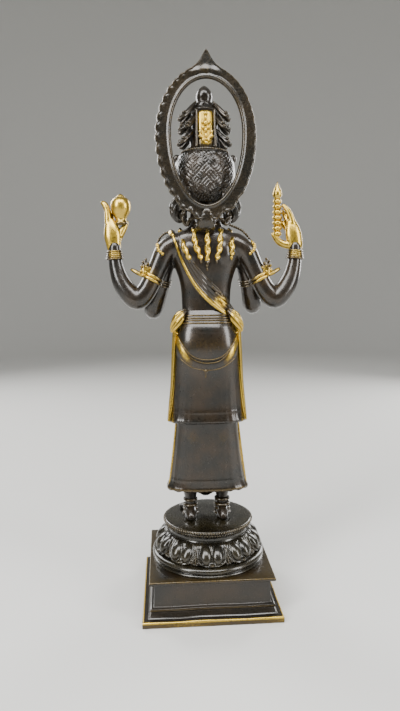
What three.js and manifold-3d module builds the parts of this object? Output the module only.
// A standing four-armed Brahma in cast brass on his lotus and square plinth, with a flaming halo.
// Millimetres, +Z up. The origin is the middle of the plinth's underside, and the figure faces -Y.
// +X is therefore the figure's own left.

import * as THREE from 'three';
import { mergeVertices } from 'three/addons/utils/BufferGeometryUtils.js';
import Module from 'manifold-3d';

const wasm = await Module();
wasm.setup();

const turnFull = Math.PI * 2;
const quarter = Math.PI / 2;

// Driving sizes.

const jointGap = 0.3;

const plinth = {
  footHalf: 56,
  footTall: 5,
  filletHalf: 51,
  beadHalf: 49.3,
  beadLow: 9.7,
  beadHigh: 12.5,
  dadoHalf: 46.7,
  slabHalf: 50.3,
  slabLow: 31.5,
  top: 34.5,
};

const lotus = {
  footRadius: 47.6,
  torusRadius: 48,
  torusHigh: 41.6,
  neckRadius: 33,
  rimRadius: 38,
  top: 68.4,
  sides: 24,
  petals: 10,
  pointsPerPetal: 6,
  petalTop: 57,
  petalTip: 42.4,
};

const halo = {
  middle: 378,
  half: 38.2,
  rise: 53.5,
  drop: 58.5,
  flameTall: 11.5,
  flameSpread: 5,
  scallops: 30,
  pointsPerScallop: 2,
  scallopDeep: 1.5,
  holeMiddle: 382,
  holeHalf: 27.4,
  holeRise: 39.5,
  holeDrop: 53.5,
  front: 21.2,
  thick: 2.6,
  rimRadius: 1.7,
  rimProud: 1,
};

const skirt = {
  lowerHem: 94.6,
  lowerTop: 158,
  upperHem: 153,
  folds: 5,
  sides: 16,
};

const belt = { ridges: 3, low: 234, pitch: 3.5, proud: 1.3 };

const head = { x: 0, y: -2.5, half: 24.2, deep: 22.4, low: 329, sides: 12 };

const crown = {
  bandLow: 370.4,
  bandTop: 374,
  bandRadius: 18.4,
  neckRadius: 11.4,
  capLow: 403,
  capHigh: 406.5,
  coneTop: 412,
  bulbRadius: 6.2,
  top: 425,
  lockTiers: [397, 386.5, 377],
  lockReach: [20.5, 21.2, 21.6],
  locksPerSide: 3,
  lockSpread: 0.62,
};

const squareness = 2.5;

// Points, rings and closed solids.

function at(x, y, z) {
  return new THREE.Vector3(x, y, z);
}

function mix(a, b, part) {
  return a + (b - a) * part;
}

// A closed geometry becomes a solid: shared points are merged, flat slivers dropped, faces turned out.
function solidOf(geometry) {
  const bare = geometry.clone();
  bare.deleteAttribute('normal');
  bare.deleteAttribute('uv');
  const merged = mergeVertices(bare, 1e-4);
  const places = merged.attributes.position.array;
  const faces = [];
  for (let i = 0; i < merged.index.count; i += 3) {
    const face = [0, 1, 2].map((corner) => merged.index.getX(i + corner));
    if (new Set(face).size === 3) {
      faces.push(face);
    }
  }
  const corner = (index) => at(...places.slice(index * 3, index * 3 + 3));
  const volume = faces.reduce((sum, [a, b, c]) => sum + corner(a).dot(corner(b).cross(corner(c))), 0);
  const outward = volume < 0 ? faces.map(([a, b, c]) => [a, c, b]) : faces;
  const mesh = new wasm.Mesh({
    numProp: 3,
    vertProperties: new Float32Array(places),
    triVerts: new Uint32Array(outward.flat()),
  });
  return new wasm.Manifold(mesh);
}

function union(solids) {
  return solids.reduce((whole, piece) => whole.add(piece));
}

// A skin over rings of points, closed by a fan at both ends, or joined up where it runs in a loop.
function skin(rings, loop = false) {
  const count = rings[0].length;
  const points = rings.flat();
  const faces = [];
  const spans = loop ? rings.length : rings.length - 1;
  for (let i = 0; i < spans; i += 1) {
    const here = i * count;
    const next = ((i + 1) % rings.length) * count;
    for (let j = 0; j < count; j += 1) {
      const k = (j + 1) % count;
      faces.push(here + j, here + k, next + k, here + j, next + k, next + j);
    }
  }
  if (!loop) {
    const last = (rings.length - 1) * count;
    const middle = (ring) => ring.reduce((sum, point) => sum.add(point), at(0, 0, 0)).divideScalar(count);
    points.push(middle(rings[0]), middle(rings[rings.length - 1]));
    for (let j = 0; j < count; j += 1) {
      const k = (j + 1) % count;
      faces.push(points.length - 2, k, j, points.length - 1, last + j, last + k);
    }
  }
  const geometry = new THREE.BufferGeometry().setFromPoints(points);
  geometry.setIndex(faces);
  return solidOf(geometry);
}

// A limb along a smooth path: each row is a place and the radius there, [x, y, z, radius].
// The section is drawn flatter along its own side direction where flat is under 1.
// Its corners stand a little proud, so that the section's area is that of the round limb.
function limb(rows, { sides = 8, side = at(0, 1, 0), flat = 1 } = {}) {
  const curve = new THREE.CatmullRomCurve3(rows.map(([x, y, z]) => at(x, y, z)));
  const steps = rows.length - 1;
  const proud = Math.sqrt(turnFull / (sides * Math.sin(turnFull / sides)));
  let across = side.clone();
  const rings = [];
  for (let i = 0; i <= steps; i += 1) {
    const radius = rows[i][3] * proud;
    const centre = curve.getPoint(i / steps);
    const tangent = curve.getTangent(i / steps);
    across = across.clone().projectOnPlane(tangent).normalize();
    const up = tangent.clone().cross(across);
    rings.push(Array.from({ length: sides }, (_, j) => {
      const turn = ((j + 0.5) / sides) * turnFull;
      return centre.clone()
        .addScaledVector(across, Math.cos(turn) * radius * flat)
        .addScaledVector(up, Math.sin(turn) * radius);
    }));
  }
  return skin(rings);
}

// The same limb on the figure's other side.
function mirrorRows(rows) {
  return rows.map(([x, y, z, radius]) => [-x, y, z, radius]);
}

function ball(x, y, z, half, deep, tall, sides = 8, rows = 6) {
  const sphere = new THREE.SphereGeometry(1, sides, rows);
  sphere.rotateX(quarter).scale(half, deep, tall).translate(x, y, z);
  return solidOf(sphere);
}

// A turned form about the Z axis from [radius, height] pairs that start and end on the axis.
function turned(profile, sides, x = 0, y = 0) {
  const lathe = new THREE.LatheGeometry(profile.map(([r, z]) => new THREE.Vector2(r, z)), sides);
  lathe.rotateX(quarter).translate(x, y, 0);
  return solidOf(lathe);
}

function level(half, front, back, z, sides, lift = () => 0) {
  return Array.from({ length: sides }, (_, i) => {
    const turn = (i / sides) * turnFull;
    const c = Math.cos(turn);
    const s = Math.sin(turn);
    const x = half * Math.sign(c) * Math.abs(c) ** (2 / squareness);
    const y = (s > 0 ? back : front) * Math.sign(s) * Math.abs(s) ** (2 / squareness);
    const out = 1 + lift(turn);
    return at(x * out, y * out, z);
  });
}

// The body's level sections: half width, depth in front of and behind the shoulders' plane.

const torsoLevels = [
  { z: 240, half: 20.2, front: 13, back: 11.4 },
  { z: 250, half: 20, front: 12.6, back: 10.6 },
  { z: 268, half: 21.4, front: 14.4, back: 12 },
  { z: 285, half: 27, front: 16.2, back: 14 },
  { z: 297, half: 32, front: 14.6, back: 14 },
  { z: 306, half: 28, front: 11.4, back: 12.4 },
  { z: 313, half: 15.4, front: 9.5, back: 9.8 },
  { z: 334, half: 12.4, front: 11, back: 8 },
];

// The upper tier ends in the belt, whose ridges step in towards the waist.
const beltRidges = Array.from({ length: belt.ridges }).flatMap((_, i) => {
  const part = i / belt.ridges;
  const size = { half: mix(23.4, 20.6, part), front: mix(15.6, 13.4, part), back: mix(15.6, 11.6, part) };
  const z = belt.low + i * belt.pitch;
  const proud = {
    z: z + belt.pitch * 0.45,
    half: size.half + belt.proud,
    front: size.front + belt.proud,
    back: size.back + belt.proud,
  };
  return [{ z, ...size }, proud];
});

const upperLevels = [
  { z: skirt.upperHem, half: 31.2, front: 20, back: 17.5 },
  { z: 168, half: 30.2, front: 19, back: 16.4 },
  { z: 192, half: 28.7, front: 18.2, back: 16.8 },
  { z: 214, half: 27.2, front: 17.2, back: 19.8 },
  { z: 227, half: 25.6, front: 16.4, back: 18.8 },
  ...beltRidges,
  { z: belt.low + belt.ridges * belt.pitch, half: 19.4, front: 12, back: 10 },
];

const lowerLevels = [
  { z: skirt.lowerHem, half: 33.4, front: 21, back: 17.2 },
  { z: 118, half: 30, front: 19, back: 15.6 },
  { z: 144, half: 26.8, front: 17.4, back: 14.6 },
  { z: skirt.lowerTop, half: 26, front: 17, back: 14.6 },
];

// Where a body's surface lies at a place across and a height, behind (1) or in front (-1).
function surface(levels, x, z, facing) {
  const found = levels.findIndex((one) => one.z >= z);
  const high = Math.max(1, found < 0 ? levels.length - 1 : found);
  const a = levels[high - 1];
  const b = levels[high];
  const part = (z - a.z) / (b.z - a.z);
  const half = mix(a.half, b.half, part);
  const deep = facing > 0 ? mix(a.back, b.back, part) : mix(a.front, b.front, part);
  const reach = Math.min(Math.abs(x) / half, 0.995);
  return facing * deep * (1 - reach ** squareness) ** (1 / squareness);
}

// A raised line laid on the body through [x, z] places, half sunk in its surface.
function laidLine(levels, places, radius, facing, proud = 0.3) {
  const rows = places.map(([x, z]) => [x, surface(levels, x, z, facing) + facing * proud, z, radius]);
  return limb(rows, { sides: 4, side: at(0, facing, 0) });
}

function drawnBody(levels, lift) {
  return skin(levels.map((one) => level(one.half, one.front, one.back, one.z, skirt.sides, lift(one))));
}

// Plinth.

function makePlinth() {
  const p = plinth;
  const outline = [
    [0, 0],
    [p.footHalf, 0],
    [p.footHalf, p.footTall - 0.6],
    [p.footHalf - 0.8, p.footTall],
    [p.filletHalf, p.footTall],
    [p.filletHalf - 1.3, p.footTall + 2.4],
    [p.beadHalf, p.beadLow],
    [p.beadHalf + 0.6, mix(p.beadLow, p.beadHigh, 0.45)],
    [p.beadHalf - 0.8, p.beadHigh],
    [p.dadoHalf, p.beadHigh + 0.5],
    [p.dadoHalf - 0.4, p.slabLow],
    [p.slabHalf - 0.8, p.slabLow],
    [p.slabHalf, p.slabLow + 1],
    [p.slabHalf, p.top - 0.5],
    [p.slabHalf - 0.5, p.top],
    [0, p.top],
  ];
  // A lathe of four sides gives the square: its corner radius is the half side times the root of two.
  const corners = outline.map(([half, z]) => new THREE.Vector2(half * Math.SQRT2, z));
  const square = new THREE.LatheGeometry(corners, 4, turnFull / 8);
  square.rotateX(quarter);
  return solidOf(square);
}

// Lotus.

// The petals are one band: across each petal the radius swells into two lobes either side of a rib,
// and it falls to the groove between petals.
function petalBand() {
  const l = lotus;
  const rows = [
    { z: l.petalTop, radius: 33.4, lobe: 0.6, tip: 0 },
    { z: 52.6, radius: 37.4, lobe: 2, tip: 0.4 },
    { z: 47, radius: 42, lobe: 3.4, tip: 1 },
    { z: l.petalTip, radius: 43.4, lobe: 1.6, tip: 2.6 },
    { z: l.petalTip - 1.6, radius: 42, lobe: 0, tip: 1 },
  ];
  const swell = [0, 0.8, 1, 0.6, 1, 0.8];
  const count = l.petals * l.pointsPerPetal;
  const first = quarter - turnFull / l.petals / 2;
  return skin(rows.map(({ z, radius, lobe, tip }) => Array.from({ length: count }, (_, i) => {
    const turn = first + (i / count) * turnFull;
    const across = i % l.pointsPerPetal;
    const middle = 1 - Math.abs(across - l.pointsPerPetal / 2) / (l.pointsPerPetal / 2);
    const reach = radius + swell[across] * lobe + middle * tip;
    return at(Math.cos(turn) * reach, Math.sin(turn) * reach, z);
  })));
}

function makeLotus() {
  const l = lotus;
  const base = plinth.top;
  const foot = turned([
    [0, base],
    [l.footRadius, base],
    [l.footRadius, base + 1.8],
    [l.footRadius - 1.6, base + 2.6],
    [l.torusRadius, base + 5],
    [l.torusRadius - 1.2, l.torusHigh],
    [0, l.torusHigh + 3],
  ], l.sides);
  const drum = turned([
    [0, l.petalTop - 5],
    [l.neckRadius + 1, l.petalTop - 1.4],
    [l.neckRadius, l.top - 7.4],
    [l.neckRadius + 3.2, l.top - 5],
    [l.rimRadius, l.top - 2],
    [l.rimRadius - 0.4, l.top],
    [0, l.top],
  ], l.sides);
  return union([foot, petalBand(), drum]);
}

// Halo.

// The edge of the halo: half an oval above and below its middle, with the flame's tip on top.
function haloEdge(turn, grow = 0) {
  const h = halo;
  const x = Math.sin(turn) * (h.half + grow);
  const up = Math.cos(turn);
  const flame = up > 0 ? h.flameTall * Math.exp(-((Math.abs(x) / h.flameSpread) ** 1.5)) : 0;
  return new THREE.Vector2(x, h.middle + up * ((up > 0 ? h.rise : h.drop) + grow) + flame);
}

function haloHole(turn) {
  const h = halo;
  const up = Math.cos(turn);
  return new THREE.Vector2(Math.sin(turn) * h.holeHalf, h.holeMiddle + up * (up > 0 ? h.holeRise : h.holeDrop));
}

// The ring's section, from the scalloped edge in to the raised round rim of the opening.
function haloRing() {
  const h = halo;
  const back = h.front + h.thick;
  const middle = h.front + h.thick / 2;
  const section = [
    { from: 'edge', reach: 0, y: h.front },
    { from: 'hole', reach: h.rimRadius, y: h.front - h.rimProud },
    { from: 'hole', reach: 0, y: middle },
    { from: 'hole', reach: h.rimRadius, y: back + h.rimProud },
    { from: 'hole', reach: h.rimRadius * 2.2, y: back },
    { from: 'edge', reach: 0, y: back },
  ];
  const count = h.scallops * h.pointsPerScallop;
  const rings = Array.from({ length: count }, (_, i) => {
    const turn = (i / count) * turnFull;
    // The scallops fade out beside the flame's tip.
    const fade = Math.min(1, Math.hypot(Math.sin(turn), 1 - Math.cos(turn)) / 0.35);
    const wave = Math.abs(Math.sin((i / h.pointsPerScallop) * Math.PI)) - 0.6;
    const edge = haloEdge(turn, wave * h.scallopDeep * fade);
    const hole = haloHole(turn);
    const out = edge.clone().sub(hole).normalize();
    return section.map(({ from, reach, y }) => {
      const place = from === 'edge' ? edge : hole.clone().addScaledVector(out, reach);
      return at(place.x, y, place.y);
    });
  });
  return skin(rings, true);
}

// The stem leans forward from the ring's foot to the nape, and stops just short of it.
function makeHalo() {
  const h = halo;
  const bottom = h.middle - h.drop;
  const stem = limb([
    [0.5, h.front + 1.2, bottom + 5, 5.5],
    [0.8, h.front + 0.4, bottom - 1, 7],
    [1, h.front - 5, bottom - 4.4, 7.6],
    [1, h.front - 12, bottom - 6.4, 7.2],
  ], { sides: 6, side: at(0, 1, 0.5), flat: 0.42 });
  const nape = skin(torsoLevels.map((one) => level(
    one.half + jointGap,
    one.front + jointGap,
    one.back + jointGap,
    one.z,
    skirt.sides,
  )));
  return haloRing().add(stem).subtract(union([nape, ...backLocks(jointGap)]));
}

// Figure: dress.

// Fold depths grow from nothing at a tier's top to their full depth at its hem.
function foldLift(top, hem, deep) {
  return (one) => (turn) => {
    const fall = Math.max(0, (top - one.z) / (top - hem));
    return Math.cos(turn * skirt.folds) * deep * fall;
  };
}

function frontPleat() {
  const rows = [
    { z: 236, half: 5, out: 16.5 },
    { z: 205, half: 6, out: 20.5 },
    { z: 160, half: 7.5, out: 22.5 },
    { z: 120, half: 8.5, out: 22.5 },
    { z: 84, half: 10.5, out: 24.5 },
  ];
  const parts = [-1, -0.5, 0, 0.5, 1];
  const rings = rows.map(({ z, half, out }) => {
    const frontLine = parts.map((part, i) => at(part * half, -out + (i % 2) * 1.6, z));
    const backLine = [at(half, -12, z), at(-half, -12, z)];
    return [...frontLine, ...backLine];
  });
  return skin(rings);
}

// A narrow end of cloth that falls from the hip to the upper tier's flared corner.
function sideFall(side) {
  const rows = [
    [26, 5, 232, 2.2],
    [27, 5, 212, 2.3],
    [28.4, 5, 186, 2.3],
    [30.4, 5, 166, 2.6],
    [32.6, 5, 152.6, 1.4],
  ].map(([x, y, z, radius]) => [x * side, y, z, radius]);
  return limb(rows, { sides: 4, flat: 1.6 });
}

// The belt's knot slants out and down behind each hip.
function hipKnot(side) {
  const rows = [[19, 9, 245, 2.2], [22.6, 9.4, 240.4, 3.9], [25, 9, 236, 4], [27.6, 8, 231, 1.8]];
  return limb(side > 0 ? rows : mirrorRows(rows), { sides: 5 });
}

function swags(facing) {
  const dips = [
    { low: 204.6, rise: 20, half: 24.6, radius: 1.8 },
    { low: 197.4, rise: 8, half: 21, radius: 1 },
  ].slice(0, facing > 0 ? 2 : 1);
  const parts = [-1, -0.75, 0, 0.75, 1];
  return dips.map(({ low, rise, half, radius }) => {
    const places = parts.map((part) => [part * half, low + rise * Math.abs(part) ** 2.6]);
    return laidLine(upperLevels, places, radius, facing);
  });
}

// The pleated cloth that crosses the back, or the chest, from the left shoulder to the right hip.
// Each row is a place on its lower edge and its width there, and a groove runs along it.
function diagonalSash(facing) {
  const rows = [[26, 305, 5], [21.4, 289, 6.6], [12, 270.6, 9], [-1, 254, 11], [-16.6, 242.4, 8]];
  const folds = [1.9, 0.8, 1.8, 1.6];
  const rings = rows.map(([x, z, width], i) => {
    const before = rows[Math.max(i - 1, 0)];
    const after = rows[Math.min(i + 1, rows.length - 1)];
    const along = new THREE.Vector2(after[0] - before[0], after[1] - before[1]).normalize();
    const place = (part, out) => {
      const px = x + along.y * part * width;
      const pz = z - along.x * part * width;
      return at(px, surface(torsoLevels, px, pz, facing) + facing * out, pz);
    };
    const outer = folds.map((out, j) => place(j / (folds.length - 1), out));
    return [...outer, place(0.9, -2), place(0.1, -2)];
  });
  return skin(rings);
}

// Figure: trunk, legs and feet.

function leg(side) {
  const x = side > 0 ? 15 : -12.2;
  const anklets = [83.6, 78, 72.6];
  const plain = 5.8;
  const ridges = anklets.flatMap((z) => [[x, 3, z + 2, plain], [x, 3, z, plain + 1.9]]);
  const sole = lotus.top;
  const ankle = limb([[x, 3, 98, 7], ...ridges, [x, 3, sole, plain]], { sides: 6 });
  const lines = [
    { y: 13.5, half: 3.4, tall: 5 },
    { y: 9, half: 5.4, tall: 8 },
    { y: -6, half: 6, tall: 7.6 },
    { y: -17, half: 6.9, tall: 4.8 },
    { y: -23.5, half: 6, tall: 3 },
  ];
  const foot = skin(lines.map(({ y, half, tall }) => {
    const outward = x + side * Math.max(0, -y) * 0.12;
    return Array.from({ length: 6 }, (_, i) => {
      const turn = (i / 5) * Math.PI;
      return at(outward + Math.cos(turn) * half, y, sole + Math.sin(turn) ** 0.8 * tall);
    });
  }));
  return ankle.add(foot);
}

function trunk() {
  const torso = drawnBody(torsoLevels, () => () => 0);
  const upper = drawnBody(upperLevels, foldLift(200, skirt.upperHem, 0.025));
  const lower = drawnBody(lowerLevels, foldLift(skirt.lowerTop, skirt.lowerHem, 0.035));
  const chest = [-1, 1].map((side) => ball(side * 10.5, -9.5, 284, 11.5, 7.5, 9, 8, 5));
  const belly = ball(0, -6, 256, 16, 9.4, 13, 8, 5);
  return union([torso, upper, lower, ...chest, belly]);
}

// Figure: arms and hands.

// A bracelet or armlet as extra rows of a limb: a band about one place along it.
function ridged([x, y, z, radius], [dx, dy, dz], proud = 1.5) {
  const step = (part, grow) => [x + dx * part, y + dy * part, z + dz * part, radius + grow];
  return [step(-1, 0), step(-0.5, proud), step(0.5, proud), step(1, 0)];
}

function rearArm(side) {
  const rows = [
    [25, 2, 299, 9.6],
    [32.4, 3, 294.4, 9],
    [37.4, 4, 284.6, 7.9],
    ...ridged([42.6, 5, 273.4, 7.6], [1.9, 0.3, -3], 1.5),
    [49.4, 6, 259.6, 7.8],
    [56.4, 6, 253.6, 8.2],
    [63.6, 5, 259.6, 7.8],
    [71.6, 3.6, 277, 6.2],
    ...ridged([74.2, 3, 290.6, 5.2], [0.2, 0, 3.6], 2.6),
    [74, 3, 297.5, 4.8],
  ];
  const arm = limb(side > 0 ? rows : mirrorRows(rows), { sides: 6 });
  // Two leaves rise from the armlet: one upright, and one that reaches out towards the forearm.
  const upright = [[46 * side, 8, 272, 4], [50 * side, 8.6, 279, 4.2], [50.4 * side, 8, 287, 0.8]];
  const outward = [[46 * side, 8, 271.6, 1.8], [54 * side, 7, 275, 1.9], [61.4 * side, 5, 279.4, 0.8]];
  return union([arm, limb(upright, { sides: 4, flat: 0.5 }), limb(outward, { sides: 4 })]);
}

function frontArm(side) {
  const reach = side > 0
    ? [[44.2, -22, 247, 6.6], [43.6, -31, 250.4, 5.4], ...ridged([43.4, -34.6, 252, 4.8], [0, -2.2, 1], 1.8)]
    : [[-42.6, -23, 250.6, 6.6], [-43.4, -32, 257.6, 5.4], ...ridged([-43.8, -35.6, 261, 4.8], [0, -1.6, 1.8], 1.8)];
  const elbow = side > 0 ? [44, -12, 246.6, 8] : [-40.4, -12, 251, 7.8];
  const shoulder = [[28, -1, 298, 9], [33.4, -4, 284, 8], [37.6, -8, 266, 7.8]];
  const upper = side > 0 ? shoulder : mirrorRows(shoulder);
  return limb([...upper, elbow, ...reach], { sides: 6 });
}

function fingers(list) {
  return list.map((rows) => limb(rows, { sides: 4 }));
}

// The raised right hand that gives assurance: its palm faces forward.
function assuringHand() {
  const palm = limb([[-43.8, -37, 264, 4.6], [-44, -37.6, 273, 6.6], [-44, -37.2, 283, 5.4]],
    { sides: 6, flat: 0.5 });
  const roots = [-48.8, -45.6, -42.4, -39.2];
  const tips = [295, 298, 299, 297];
  const raised = roots.map((x, i) => [[x, -37.4, 281, 1.8], [x, -37.8, 289, 1.7], [x, -36.8, tips[i], 1]]);
  const thumb = [[-39.6, -38.4, 268, 2.3], [-36.8, -40, 275, 1.9], [-36.6, -40.2, 281, 1.1]];
  return [palm, ...fingers([...raised, thumb])];
}

// The level left hand, palm up with its fingers half closed.
function levelHand() {
  const palm = limb([[43.4, -36, 252.6, 4.6], [43.4, -42, 253.6, 6.2], [43.4, -48.4, 254.4, 5.8]],
    { sides: 6, side: at(0, 0, 1), flat: 0.55 });
  const roots = [48.4, 45.2, 42, 38.8];
  const curled = roots.map((x, i) => [
    [x, -47, 254.2, 1.9],
    [x, -53.4 + i * 0.4, 258.4, 1.8],
    [x - 0.4, -50 + i * 0.4, 263.4, 1.1],
  ]);
  const thumb = [[39, -40, 254.6, 2.2], [36.8, -45, 258.4, 1.9], [39.2, -48.4, 261.4, 1.1]];
  return [palm, ...fingers([...curled, thumb])];
}

function potHand() {
  const palm = limb([[74.2, 3, 295, 4.6], [75.8, 2.4, 305, 5.8], [77, 1.6, 317, 4.2]],
    { sides: 6, flat: 0.7 });
  const spread = [
    [[77.8, 1.4, 314, 2.9], [78.8, 1, 323, 2.5], [79.4, 0.4, 329, 2.2], [82.4, -0.4, 332.6, 2.1], [85, -1, 333.6, 1]],
    [[76.4, -1.6, 314, 2.6], [77, -3.6, 322, 2.3], [76, -5, 328.4, 1.4]],
    [[74.6, -2.6, 312, 2.4], [72.6, -6.6, 317, 2.2], [68.6, -7.4, 319.6, 1.6]],
    [[74, 1, 300, 3], [69, 0.6, 307.6, 2.7], [65.6, 0, 313, 2.3], [63.4, -0.6, 318, 1.6]],
  ];
  const pot = turned([
    [0, 315],
    [5, 315.4],
    [5.2, 318],
    [3.6, 320.6],
    [7.2, 325.4],
    [8.2, 330.8],
    [6.4, 335.6],
    [3, 337.6],
    [0, 340.4],
  ], 8, 68.6, -0.4);
  return [palm, ...fingers(spread), pot];
}

function beadHand() {
  const palm = limb([[-74.2, 3, 295, 4.6], [-73.8, 2.6, 305, 5.4], [-71.4, 2, 316, 3.6]],
    { sides: 6, flat: 0.7 });
  const closed = [
    [[-71.6, 2, 313, 2.7], [-70, 1.8, 321, 2.4], [-67, 1.2, 328, 2], [-63.6, 0.6, 331.6, 1.1]],
    [[-71, -0.6, 313, 2.4], [-68, -3, 321, 2.1], [-64, -3.6, 327, 1.3]],
    [[-70.4, -2.4, 311, 2.3], [-65.6, -5, 316, 2], [-61.6, -4.4, 319.6, 1.4]],
    [[-73, 2, 298.4, 3.2], [-66.4, 1.4, 298, 2.9], [-59.6, 0.6, 302, 2.6], [-55, 0, 309.6, 1.6]],
  ];
  const beads = 7;
  const low = 306;
  const pitch = 4.6;
  const outline = [[0, low - 1]];
  for (let i = 0; i < beads; i += 1) {
    const radius = 3.7 - Math.abs(i - 2.5) * 0.16;
    outline.push([radius - 1.1, low + i * pitch], [radius, low + i * pitch + pitch * 0.5]);
  }
  outline.push([1.7, 338.4], [3.2, 341.4], [2.2, 345], [0.5, 349.6], [0, 350.4]);
  return [palm, ...fingers(closed), turned(outline, 5, -59.6, 0)];
}

// Figure: head, hair and jewellery.

// One face as a calm mask, looking along -Y before it is turned about the head's own axis.
function face(turn) {
  const front = -head.deep;
  const features = [
    ball(0, front + 5.4, 350, 12.6, 6.6, 16.4, 7, 5),
    limb([[0, front, 354, 1.2], [0, front - 2.2, 345, 2.2], [0, front + 0.4, 341.6, 1.6]], { sides: 4 }),
    ball(0, front + 1.4, 337.6, 4.2, 2.6, 2, 5, 3),
  ];
  return union(features).rotate([0, 0, turn]).translate([head.x, head.y, 0]);
}

function earring(side) {
  return [
    ball(side * 16, head.y - 13, 343, 2.8, 4, 8, 5, 4),
    ball(side * 16, head.y - 11, 332.6, 3.8, 5, 5, 5, 4),
    limb([
      [side * 17, head.y + 3, 340, 4],
      [side * 22, head.y + 4, 333, 5],
      [side * 22.6, head.y + 5, 324, 5.2],
      [side * 20, head.y + 5, 317, 2.6],
    ], { sides: 6 }),
    ball(side * 22.6, head.y + 1, 367.6, 3.4, 3, 3.2, 5, 4),
  ];
}

function crownLock(turn, tip, reach) {
  const start = crown.neckRadius - 1;
  const out = (radius, z, thick) => [Math.cos(turn) * radius, Math.sin(turn) * radius, z, thick];
  const rows = [
    out(start, tip + 9.5, 1.6),
    out(mix(start, reach, 0.62), tip + 4.4, 2.6),
    out(reach - 0.6, tip + 0.2, 1.5),
  ];
  return limb(rows, { sides: 4, side: at(0, 0, 1) }).translate([head.x, head.y + 1, 0]);
}

function crownPlaque(facing) {
  const c = crown;
  const rings = [[c.bandTop - 1, 7, 6], [c.bandTop + 6, 7, 5.2], [c.capLow - 10, 6.6, 4.2], [c.capLow - 1, 6, 2.6]];
  return skin(rings.map(([z, half, out]) => {
    const inner = head.y + 1 + facing * 8;
    const outer = head.y + 1 + facing * (c.neckRadius + out);
    return [at(-half, inner, z), at(half, inner, z), at(half, outer, z), at(-half, outer, z)];
  }));
}

function makeCrown() {
  const c = crown;
  const core = turned([
    [0, c.bandLow - 3],
    [c.bandRadius, c.bandLow],
    [c.bandRadius + 1.2, c.bandTop - 1.6],
    [c.neckRadius + 1.4, c.bandTop + 3],
    [c.neckRadius - 1, c.capLow - 1],
    [c.neckRadius + 0.6, c.capLow + 1],
    [c.neckRadius, c.capHigh],
    [5, c.coneTop],
    [c.bulbRadius, c.coneTop + 4.4],
    [c.bulbRadius - 1, c.coneTop + 8.4],
    [0, c.top],
  ], 10, head.x, head.y + 1);
  const locks = [];
  for (const [tier, tip] of c.lockTiers.entries()) {
    for (const side of [0, Math.PI]) {
      for (let i = 0; i < c.locksPerSide; i += 1) {
        const turn = side + (i - (c.locksPerSide - 1) / 2) * c.lockSpread;
        locks.push(crownLock(turn, tip, c.lockReach[tier]));
      }
    }
  }
  return [core, crownPlaque(1), crownPlaque(-1), ...locks];
}

function backLocks(grow = 0) {
  const ends = [
    { top: 20, end: [14, 287] },
    { top: 10, end: [4.6, 285] },
    { top: -0.8, end: [-0.6, 278] },
    { top: -12, end: [-8.2, 285] },
    { top: -20.4, end: [-20.4, 290] },
  ];
  return ends.map(({ top, end }) => {
    const beads = 3;
    const rows = Array.from({ length: beads + 1 }, (_, i) => {
      const part = i / beads;
      const x = mix(top, end[0], part ** 1.6);
      const z = mix(310.6, end[1], part);
      return [x, surface(torsoLevels, x, z, 1) + 0.2, z, (i % 2 ? 2 : 1.6) + grow];
    });
    rows[beads][3] = 0.6 + grow;
    return limb(rows, { sides: 4 });
  });
}

function shoulderBeads(side) {
  const rows = [
    [17, 8, 312.4, 1.1],
    [31, 7.4, 305.4, 1.4],
    [39.6, 5, 297, 1.4],
    [34.4, 10.6, 290, 1.1],
  ];
  return limb(side > 0 ? rows : mirrorRows(rows), { sides: 4 });
}

function necklace() {
  const low = 292;
  const half = 17;
  const rise = 14;
  const parts = [-1, -0.55, 0, 0.55, 1];
  return laidLine(torsoLevels, parts.map((part) => [part * half, low + rise * part ** 2]), 1.8, -1, 0.6);
}

// The hair is drawn into a ball that stays full up to the crown's band.
function hairBall() {
  const bulge = [
    { z: head.low, part: 0.3 },
    { z: 334, part: 0.68 },
    { z: 341, part: 0.92 },
    { z: 351, part: 1 },
    { z: 361, part: 0.97 },
    { z: 368, part: 0.86 },
    { z: crown.bandLow + 1, part: 0.72 },
  ];
  return skin(bulge.map(({ z, part }) => Array.from({ length: head.sides }, (_, i) => {
    const turn = ((i + 0.5) / head.sides) * turnFull;
    return at(
      head.x + Math.cos(turn) * head.half * part,
      head.y + Math.sin(turn) * head.deep * part,
      z,
    );
  })));
}

function makeFigure() {
  const faces = [0, 90, -90].map((turn) => face(turn));
  const sides = [-1, 1];
  return union([
    trunk(),
    frontPleat(),
    ...swags(1),
    ...swags(-1),
    diagonalSash(1),
    diagonalSash(-1),
    ...sides.flatMap((side) => [leg(side), sideFall(side), hipKnot(side)]),
    ...sides.flatMap((side) => [rearArm(side), frontArm(side), shoulderBeads(side), ...earring(side)]),
    ...assuringHand(),
    ...levelHand(),
    ...potHand(),
    ...beadHand(),
    hairBall(),
    ...faces,
    ...makeCrown(),
    ...backLocks(),
    necklace(),
  ]);
}

// Finishes: the dark patina differs a little from piece to piece.

function finish(colour, roughness) {
  return new THREE.MeshStandardMaterial({ color: colour, roughness, metalness: 0.9 });
}

function asMesh(name, solid, material) {
  const { vertProperties, triVerts } = solid.getMesh();
  const geometry = new THREE.BufferGeometry();
  geometry.setAttribute('position', new THREE.BufferAttribute(vertProperties, 3));
  geometry.setIndex(new THREE.BufferAttribute(triVerts, 1));
  geometry.computeVertexNormals();
  const mesh = new THREE.Mesh(geometry, material);
  mesh.name = name;
  return mesh;
}

const work = new THREE.Group();
work.add(asMesh('plinth', makePlinth(), finish(0x2a2012, 0.42)));
work.add(asMesh('lotus_pedestal', makeLotus(), finish(0x332a1c, 0.38)));
work.add(asMesh('figure', makeFigure(), finish(0x2e2110, 0.4)));
work.add(asMesh('halo', makeHalo(), finish(0x2a2014, 0.4)));

export default work;
